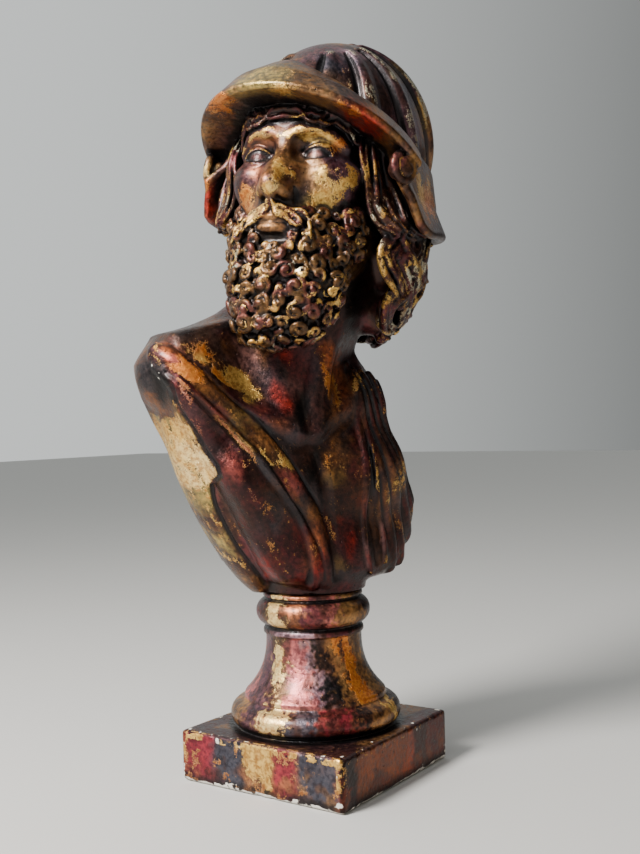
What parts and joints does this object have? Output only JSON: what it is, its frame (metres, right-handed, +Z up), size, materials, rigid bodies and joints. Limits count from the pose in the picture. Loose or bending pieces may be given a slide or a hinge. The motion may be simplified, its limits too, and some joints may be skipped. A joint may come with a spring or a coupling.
{
  "type": "classical bust",
  "caption": "Decorative classical bust of a bearded man in a pushed-back helmet and mantle, on a turned socle with a square plinth.",
  "frame": {"origin": "middle of the plinth's underside", "axes": "+Z up along the height, X and Y along the plinth's sides, -Y towards the plinth's face that the head looks over"},
  "size_m": [0.1767, 0.2164, 0.503],
  "materials": {
    "bust_paint": "polychrome metallic paint over plaster: dark brown and violet with gold, copper and red, satin to glossy",
    "socle_paint": "polychrome metallic paint over plaster: copper, rose, gold and black brush strokes, satin to glossy"
  },
  "bodies": {
    "root": {"bust": "bust_paint", "socle": "socle_paint"}
  },
  "joints": []
}
